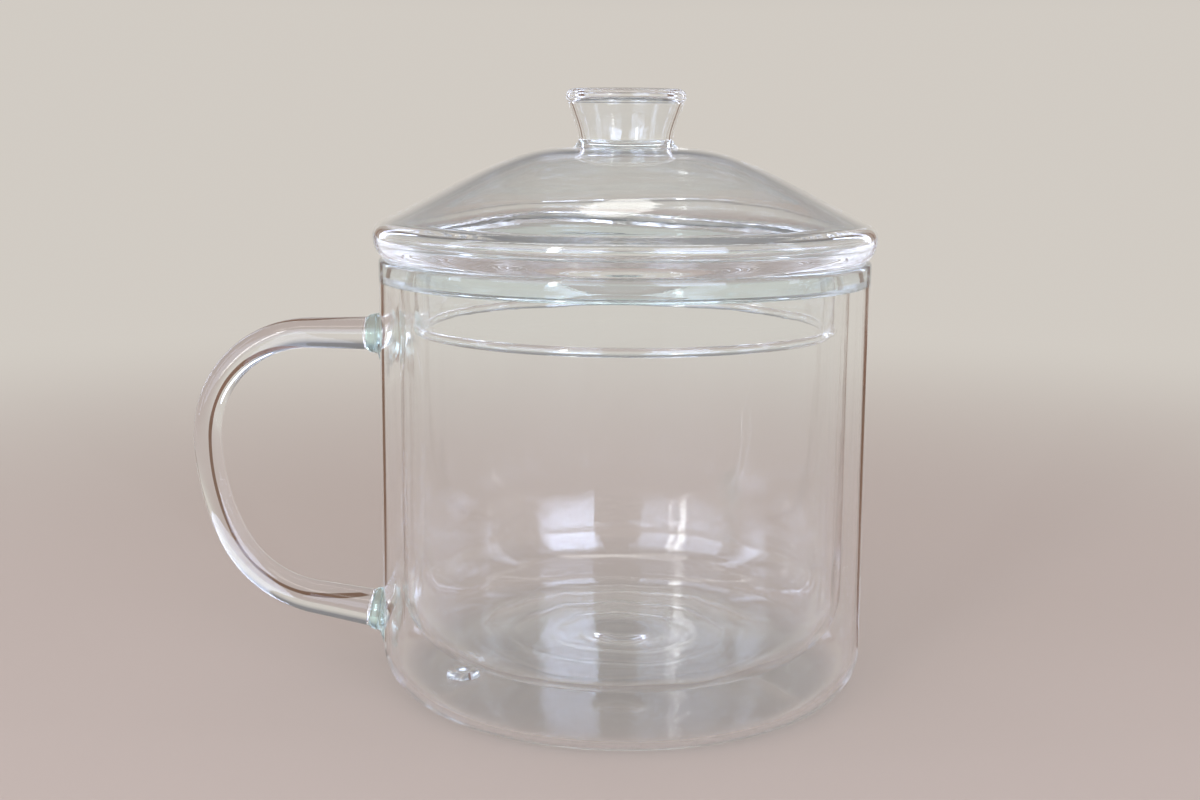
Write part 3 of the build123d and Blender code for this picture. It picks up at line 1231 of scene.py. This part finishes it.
@dataclass
class Lid:
    """The domed lid with its collar and hollow knob.

    Attributes:
        seat_inset: How far the seat's edge lies inside the widest part.
        equator: Height of the widest part above the seat.
        flank_foot: Inset and rise of the point that the flank leaves the seat towards.
        flank_rise: How far below the widest part the flank is upright.
        roll: Radius of the rolled edge.
        roll_slope: Slope at which the dome leaves the edge, in degrees.
        edge_wall: Thickness at the edge.
        edge_pulls: How far the edge's inner face is drawn down and out.
        seat: Thickness of the seat.
        seat_round: Rounding of the seat's inner corner.
        land: Radius of the flat land under the knob.
        crown_pull: Share of the dome's span that the crown's tangent takes.
        edge_pull: Share of the dome's span that the edge's tangent takes.
        dome_wall: Thickness of the dome.
        skirt_wall: Thickness of the collar.
        lip: Radius of the collar's rounded lip.
        neck: Outer radius of the knob's foot.
        knob_wall: Thickness of the knob's side.
        knob_top_wall: Thickness of the knob's top.
        knob_foot: Height of the knob's straight foot.
        knob_lip: Radius of the knob's round lip.
        lip_turn: How far the lip turns in under its widest part, in degrees.
        flare_pulls: Shares of height and width that bend the knob's side.
        inner_round: Rounding under the knob's top, as a share of its height there.
        weld_width: Width of the bead round the knob's foot.
        bead_foot: Share of that width and rise that the bead's foot is drawn to.
        bead_top: Width and fall that its top is drawn to.
    """

    seat_inset: float = 0.0023
    equator: float = 0.0045
    flank_foot: Pair = (0.0006, 0.0009)
    flank_rise: float = 0.0020
    roll: float = 0.0033
    roll_slope: float = 22.0
    edge_wall: float = 0.002
    edge_pulls: Pair = (0.0008, 0.0006)
    seat: float = 0.003
    seat_round: float = 0.001
    land: float = 0.0113
    crown_pull: float = 0.34
    edge_pull: float = 0.32
    dome_wall: float = 0.0014
    skirt_wall: float = 0.0015
    lip: float = 0.00105
    neck: float = 0.0096
    knob_wall: float = 0.0013
    knob_top_wall: float = 0.0016
    knob_foot: float = 0.0014
    knob_lip: float = 0.0015
    lip_turn: float = 40.0
    flare_pulls: tuple[float, ...] = (0.22, 0.6, 0.62)
    inner_round: float = 0.7
    weld_width: float = 0.001
    bead_foot: Pair = (0.6, 0.0004)
    bead_top: Pair = (0.0002, 0.0006)
    radius: float = field(init=False)
    rest: float = field(init=False)
    crown: float = field(init=False)
    skirt: float = field(init=False)
    skirt_low: float = field(init=False)
    knob_radius: float = field(init=False)
    knob_top: float = field(init=False)

    def __post_init__(self) -> None:
        """Read the main sizes from the frame."""
        dome_low, dome_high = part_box("lid_dome")
        skirt_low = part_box("lid_skirt")[0]
        knob_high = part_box("lid_knob")[1]
        self.radius = dome_high.x
        self.rest = dome_low.z
        self.crown = dome_high.z
        self.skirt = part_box("lid_skirt")[1].x - (self.lip - self.skirt_wall / 2)
        self.skirt_low = skirt_low.z
        self.knob_radius = knob_high.x
        self.knob_top = knob_high.z

    def build(self) -> None:
        """Build all pieces of the lid."""
        self.build_dome()
        self.build_skirt()
        self.build_knob()
        self.build_knob_weld()

    def dome_skin(self, edge: Corner, land_height: float) -> list[Corner]:
        """Follow the dome from its rolled edge up to the land under the knob.

        Args:
            edge: Point where it leaves the rolled edge.
            land_height: Height of the land.

        Returns:
            The points as plain corners.
        """
        slope = math.radians(self.roll_slope)
        span = edge.radius - self.land
        pull = self.edge_pull * span
        return curve(
            (edge.radius, edge.height),
            (edge.radius - pull * math.cos(slope), edge.height + pull * math.sin(slope)),
            (self.land + self.crown_pull * span, land_height),
            (self.land, land_height),
            steps=60,
        )

    def build_dome(self) -> None:
        """Build the dome with its rolled edge and flat seat."""
        seat_low = self.rest + SEAM
        seat_high = self.rest + self.seat
        middle = self.rest + self.equator
        centre = self.radius - self.roll
        edge = self.radius - self.edge_wall
        turn = 90.0 - self.roll_slope
        bore = self.neck - self.knob_wall
        bead = self.neck + self.weld_width
        skirt_inner = self.skirt - self.skirt_wall
        foot_inset, foot_rise = self.flank_foot
        down, out = self.edge_pulls
        outer_roll = arc((centre, middle), self.roll, 0.0, turn, steps=16)
        inner_roll = arc((centre, middle), self.roll - self.edge_wall, 0.0, turn, steps=10)
        flank = curve(
            (self.radius - self.seat_inset, seat_low),
            (self.radius - foot_inset, seat_low + foot_rise),
            (self.radius, middle - self.flank_rise),
            (self.radius, middle),
            steps=14,
        )
        inner_flank = curve(
            (edge, middle), (edge, middle - down), (centre + out, seat_high), (centre, seat_high), steps=10
        )
        corners = [
            *flank[:-1],
            *outer_roll[:-1],
            *self.dome_skin(outer_roll[-1], self.crown),
            Corner(bead, self.crown),
            Corner(bore, self.crown),
            Corner(bore, self.crown - self.dome_wall),
            *reversed(self.dome_skin(inner_roll[-1], self.crown - self.dome_wall)),
            *reversed(inner_roll[:-1]),
            *inner_flank[1:],
            Corner(skirt_inner, seat_high, self.seat_round),
            Corner(skirt_inner, seat_low),
            Corner(self.skirt, seat_low),
        ]
        wave = Unevenness(
            height=0.00013, pitch=0.009, around=0.04, low=middle + 0.003, high=self.crown - 0.0005, fade=0.004
        )
        seams = (
            Seam(skirt_inner, self.skirt, seat_low, seat_low),
            Seam(bore, bead, self.crown, self.crown),
        )
        GlassPiece("lid_dome", Body.LID, Slot.THIN, LID_GLASS, seams).turn(corners, (wave,))

    def build_skirt(self) -> None:
        """Build the collar with its rounded lower lip."""
        top = self.rest - SEAM
        inner = self.skirt - self.skirt_wall
        centre = (self.skirt - self.skirt_wall / 2, self.skirt_low + self.lip)
        bend = math.degrees(math.acos(self.skirt_wall / 2 / self.lip))
        corners = [
            Corner(inner, top),
            *arc(centre, self.lip, 180.0 - bend, 360.0 + bend, steps=24),
            Corner(self.skirt, top),
        ]
        wave = Unevenness(
            height=0.00005, pitch=0.02, around=0.012, low=self.skirt_low - 0.005, high=self.rest - 0.002
        )
        seams = (Seam(inner, self.skirt, top, top),)
        GlassPiece("lid_skirt", Body.LID, Slot.THIN, LID_GLASS, seams).turn(corners, (wave,))

    def knob_flare(self, foot: float, rim: float, high: float) -> list[Corner]:
        """Follow one skin of the knob's side from its foot to its rim.

        Args:
            foot: Radius at the foot.
            rim: Radius at the rim.
            high: Height of the rim.

        Returns:
            The points as plain corners.
        """
        low = self.crown + self.knob_foot
        height = high - low
        foot_pull, rim_pull, rise = self.flare_pulls
        bend = (foot + rim_pull * (rim - foot), low + rise * height)
        return curve((foot, low), (foot, low + foot_pull * height), bend, (rim, high), steps=24)

    def build_knob(self) -> None:
        """Build the hollow knob, open to the inside of the lid."""
        foot = self.crown + SEAM
        bore = self.neck - self.knob_wall
        inner_top = self.knob_top - self.knob_top_wall
        lip_centre = (self.knob_radius - self.knob_lip, self.knob_top - self.knob_lip)
        lip = arc(lip_centre, self.knob_lip, -self.lip_turn, 90.0, steps=22)
        rim = lip[0]
        inner_rim = rim.radius - self.knob_wall
        corners = [
            Corner(0.0, inner_top),
            Corner(inner_rim, inner_top, self.inner_round * (inner_top - rim.height)),
            *reversed(self.knob_flare(bore, inner_rim, rim.height)),
            Corner(bore, foot),
            Corner(self.neck, foot),
            *self.knob_flare(self.neck, rim.radius, rim.height),
            *lip[1:],
            Corner(0.0, self.knob_top),
        ]
        foot_top = self.crown + self.knob_foot
        seams = (Seam(bore, self.neck, foot, foot), Seam(self.neck, self.neck, foot, foot_top))
        piece = GlassPiece("lid_knob", Body.LID, Slot.THIN, LID_GLASS, seams)
        piece.turn(corners, longest=0.001, turns=192)

    def build_knob_weld(self) -> None:
        """Build the bead in the corner between the knob's foot and the dome."""
        low = self.crown + SEAM
        high = self.crown + self.knob_foot
        inner = self.neck + SEAM
        outer = self.neck + self.weld_width
        width_share, rise = self.bead_foot
        width, fall = self.bead_top
        foot_pull = (self.neck + self.weld_width * width_share, low + rise)
        skin = curve((outer, low), foot_pull, (inner + width, high - fall), (inner, high), steps=10)
        seams = (Seam(inner, outer, low, low), Seam(inner, inner, low, high))
        piece = GlassPiece("knob_weld", Body.LID, Slot.THICK, RIM_GLASS, seams)
        piece.turn([Corner(inner, low), *skin], longest=0.0006, turns=192)


@dataclass(frozen=True)
class StudioPaint(Finish):
    """Plain matt paint of the studio's floor, which runs into a backdrop with a painted glow, bright at its
    foot and darker higher up.

    Attributes:
        height: Height of the backdrop.
        name: Name of the material.
        floor: Colour of the paint.
        mottle: Brightness of its darker spots, as a share.
        horizon: Brightness of the backdrop's painted glow at its foot.
        high: Brightness of that painted glow in its upper part, darker than the foot.
        fade: Shares of its height between which it changes.
        near: Distance from the mug at which the backdrop begins.
        far: Distance at which it is even.
    """

    height: float
    name: str = "studio_paint"
    floor: Triple = (0.54, 0.44, 0.37)
    mottle: float = 0.97
    horizon: Triple = (0.64, 0.60, 0.55)
    high: Triple = (0.22, 0.22, 0.23)
    fade: Pair = (0.15, 0.6)
    near: float = 0.12
    far: float = 0.598

    def draw(self, sketch: NodeSketch) -> NodeSocket:
        """Draw the paint, with a faint mottle, and the backdrop's glow for rays that look at it.

        Args:
            sketch: The material's nodes.

        Returns:
            The surface's shader.
        """
        place = sketch.add("ShaderNodeTexCoord").outputs["Object"]
        spots = sketch.add("ShaderNodeTexNoise", Vector=place, Scale=3.0, Detail=2.0).outputs["Fac"]
        colour = sketch.ramp(spots, (tuple(self.mottle * part for part in self.floor), self.floor))
        paint = sketch.add(
            "ShaderNodeBsdfPrincipled", Base_Color=colour, Roughness=0.85, Specular_IOR_Level=0.2
        )
        height = sketch.add("ShaderNodeSeparateXYZ", Vector=place).outputs["Z"]
        rise = sketch.add("ShaderNodeMapRange", Value=height, From_Max=self.height).outputs["Result"]
        # Painted glow of the backdrop, bright at its foot and darker higher up
        painted_glow_colour = sketch.ramp(rise, (self.horizon, self.high), self.fade)
        glow = sketch.add("ShaderNodeEmission", Color=painted_glow_colour, Strength=1.0)
        share = sketch.add(
            "ShaderNodeMapRange",
            {"interpolation_type": "SMOOTHSTEP"},
            Value=sketch.length(place),
            From_Min=self.near,
            From_Max=self.far,
        )
        looking = sketch.rays("Camera", "Glossy", "Transmission")
        seen = sketch.math("MULTIPLY", looking, share.outputs["Result"])
        return sketch.mix(seen, paint.outputs["BSDF"], glow.outputs["Emission"])


@dataclass(frozen=True)
class CardPaint(Finish):
    """Matt brown paint of the cards, which show only in the glass, as painted dark reflections along its
    edges.
    """

    name: str = "glass_reflection_card_paint"
    # Brown of the dark reflections that the cards paint along the glass edges
    colour: Triple = (0.20, 0.11, 0.065)

    def draw(self, sketch: NodeSketch) -> NodeSocket:
        """Return the paint's shader."""
        paint = sketch.add(
            "ShaderNodeBsdfPrincipled", Base_Color=(*self.colour, 1.0), Roughness=1.0, Specular_IOR_Level=0.0
        )
        return paint.outputs["BSDF"]


@dataclass(frozen=True)
class SoftLamp:
    """A soft pane of light round the mug.

    Attributes:
        name: Name of the lamp.
        bearing: Direction from the mug, in degrees to the right of the camera's side.
        elevation: Height of its middle above the horizon, in degrees.
        width: Its width.
        height: Its height.
        distance: Distance from the mug.
        brightness: Light that it gives off per square metre and solid angle.
        colour: Its colour.
    """

    name: str
    bearing: float
    elevation: float
    width: float
    height: float
    distance: float
    brightness: float
    colour: Triple

    def hang(self, target: Vector) -> None:
        """Hang the pane and turn it to the mug.

        Args:
            target: Place that it faces.
        """
        lamp = bpy.data.lights.new(self.name, "AREA")
        lamp.shape = "RECTANGLE"
        lamp.size = self.width
        lamp.size_y = self.height
        lamp.energy = self.brightness * math.pi * self.width * self.height
        lamp.color = self.colour
        pane = bpy.data.objects.new(self.name, lamp)
        side = math.radians(self.bearing)
        rise = math.radians(self.elevation)
        way = Vector((math.sin(side) * math.cos(rise), -math.cos(side) * math.cos(rise), math.sin(rise)))
        pane.location = target + way * self.distance
        pane.rotation_euler = way.to_track_quat("Z", "Y").to_euler()
        pane.visible_camera = False
        bpy.context.scene.collection.objects.link(pane)


@dataclass(frozen=True)
class DarkCard:
    """A brown card that runs out along the floor and turns up, seen in the glass alone, where its painted
    dark reflection draws the edges.

    Attributes:
        name: Name of the card.
        side: 1 on the right of the mug and -1 on the left.
        offset: Distance from the mug's axis to the point that its edges run out from.
        near: Distance from that point at which it begins.
        far: Distance at which it turns up.
        bearings: Directions of its two edges, in degrees from straight back.
        lift: Height of its foot above the floor.
        height: Height of its upper edge.
    """

    name: str
    side: int
    offset: float = 0.05
    near: float = 0.02
    far: float = 0.4
    bearings: Pair = (23.0, 31.0)
    lift: float = 0.0004
    height: float = 0.7

    def stand(self) -> None:
        """Stand the card on the floor, hidden from the camera and from bounced light and casting no shadow,
        so that it shows only as a painted dark reflection in the glass.
        """
        bm = bmesh.new()
        ways = [(math.sin(math.radians(angle)), math.cos(math.radians(angle))) for angle in self.bearings]
        rows = []
        for reach, height in ((self.near, self.lift), (self.far, self.lift), (self.far, self.height)):
            places = [(self.side * (self.offset + reach * out), reach * back, height) for out, back in ways]
            rows.append([bm.verts.new(place) for place in places])
        for first, second in zip(rows, rows[1:]):
            bmesh.ops.contextual_create(bm, geom=[*first, *second])
        card = make_object(self.name, bm, CardPaint())
        # Seen only by glossy and transmission rays: a painted dark reflection in the glass
        card.visible_camera = card.visible_diffuse = card.visible_shadow = False


@dataclass
class Studio:
    """Floor, backdrop, lamps, cards and camera.

    Attributes:
        floor_radius: Radius of the flat floor.
        wall_radius: Radius at which the backdrop stands upright.
        wall_height: Height of the backdrop.
        cove_shares: Shares of that radius and height that the cove between them is drawn to.
        floor_drop: How far the floor lies below the mug.
        lamp_target: Place that the lamps face.
        daylight: Colour of the windows.
        white: Colour of the other lamps.
        air: Colour of the room's even light.
        air_light: Brightness of that light.
        air_seen: Brightness of the room as the glass shows it.
        camera_place: Place of the camera.
        camera_tilt: How far it looks down, in degrees.
        camera_yaw: How far it looks to the left, in degrees.
        camera_roll: How far it leans, in degrees.
        focal_pixels: Focal length in pixels of the photograph.
        bounces: Times that light may bounce.
    """

    floor_radius: float = 0.4
    wall_radius: float = 2.6
    wall_height: float = 1.8
    cove_shares: Pair = (0.75, 0.15)
    floor_drop: float = 0.0001
    lamp_target: Triple = (0.0, 0.0, 0.06)
    daylight: Triple = (0.66, 0.75, 1.0)
    white: Triple = (1.0, 0.98, 0.95)
    air: Triple = (0.95, 0.97, 1.0)
    air_light: float = 0.56
    air_seen: float = 0.20
    camera_place: Triple = (0.0, -0.33355, 0.11645)
    camera_tilt: float = 9.66
    camera_yaw: float = 0.83
    camera_roll: float = 0.41
    focal_pixels: float = 1627.09
    bounces: int = 256

    def build(self) -> None:
        """Set up the whole studio."""
        self.build_floor()
        self.hang_lamps()
        self.stand_cards()
        self.light_world()
        self.set_camera()
        self.set_light_paths()

    def build_floor(self) -> None:
        """Build the floor, which curves up into a backdrop all round."""
        bm = bmesh.new()
        level = -self.floor_drop
        out, up = self.cove_shares
        cove = curve(
            (self.floor_radius, level),
            (self.wall_radius * out, level),
            (self.wall_radius, self.wall_height * up),
            (self.wall_radius, self.wall_height),
            steps=48,
        )
        turn_section(bm, [Corner(0.0, level), *cove], longest=1.0, turns=96)
        bmesh.ops.remove_doubles(bm, verts=bm.verts[:], dist=10 * MERGE)
        for face in bm.faces:
            face.smooth = True
        floor = make_object("studio_floor", bm, StudioPaint(self.wall_height))

    def hang_lamps(self) -> None:
        """Hang the windows behind the camera, wide panes overhead and strips behind and at the sides."""
        target = Vector(self.lamp_target)
        # Name, bearing, elevation, width, height, distance, brightness and colour
        lamps = (
            SoftLamp("right_window", 29.5, 17.0, 0.66, 0.72, 1.2, 7.2, self.daylight),
            SoftLamp("left_window", -36.0, 17.0, 1.15, 0.72, 1.2, 2.9, self.daylight),
            SoftLamp("left_gap", -31.0, 17.0, 0.09, 0.72, 1.15, 13.0, self.white),
            SoftLamp("over_camera", 0.0, 55.0, 1.6, 0.20, 1.3, 3.4, self.white),
            SoftLamp("over_back", 180.0, 66.0, 2.0, 0.04, 1.3, 6.5, self.white),
            SoftLamp("back_left", -140.0, 12.0, 0.10, 0.9, 1.2, 4.0, self.daylight),
            SoftLamp("back_right", 140.0, 12.0, 0.10, 0.9, 1.2, 4.0, self.daylight),
            SoftLamp("left_strip", -80.0, 20.0, 0.14, 1.0, 1.1, 4.0, self.daylight),
            SoftLamp("right_strip", 80.0, 20.0, 0.12, 1.0, 1.1, 3.2, self.daylight),
        )
        for lamp in lamps:
            lamp.hang(target)

    def stand_cards(self) -> None:
        """Stand a narrow dark card behind the mug at each side, which paints dark reflections along the glass
        edges.
        """
        DarkCard("card_left", -1).stand()
        DarkCard("card_right", 1).stand()

    def light_world(self) -> None:
        """Give the room its even light."""
        world = bpy.data.worlds.new("studio_world")
        bpy.context.scene.world = world
        world.use_nodes = True
        sketch = NodeSketch(world.node_tree)
        light, seen = (
            sketch.add("ShaderNodeBackground", Color=(*self.air, 1.0), Strength=level).outputs["Background"]
            for level in (self.air_light, self.air_seen)
        )
        surface = sketch.mix(sketch.rays("Glossy", "Transmission"), light, seen)
        sketch.add("ShaderNodeOutputWorld", Surface=surface)

    def set_camera(self) -> None:
        """Put the camera at the photograph's viewpoint."""
        lens = bpy.data.cameras.new("photo_camera")
        lens.sensor_width = 36.0
        lens.sensor_fit = "HORIZONTAL"
        lens.lens = self.focal_pixels / PHOTO_WIDTH * lens.sensor_width
        lens.clip_start = 0.01
        camera = bpy.data.objects.new("photo_camera", lens)
        turn = Matrix.Rotation(math.radians(self.camera_yaw), 4, "Z")
        turn @= Matrix.Rotation(math.radians(90.0 - self.camera_tilt), 4, "X")
        turn @= Matrix.Rotation(math.radians(self.camera_roll), 4, "Z")
        camera.matrix_world = Matrix.Translation(self.camera_place) @ turn
        bpy.context.scene.collection.objects.link(camera)
        bpy.context.scene.camera = camera

    def set_light_paths(self) -> None:
        """Let light pass all the layers of glass, and keep colours as they are written."""
        scene = bpy.context.scene
        scene.view_settings.view_transform = "Standard"
        for kind in ("max", "transmission", "glossy", "transparent_max"):
            setattr(scene.cycles, f"{kind}_bounces", self.bounces)
        scene.cycles.caustics_reflective = False
        scene.cycles.caustics_refractive = False


def main() -> None:
    """Build the mug, its handle, its lid and the studio in order."""
    logging.basicConfig(level=logging.INFO, format="%(name)s: %(message)s")
    body = MugBody()
    body.build()
    Handle(body).build()
    Lid().build()
    Studio().build()


if __name__ == "__main__":
    main()
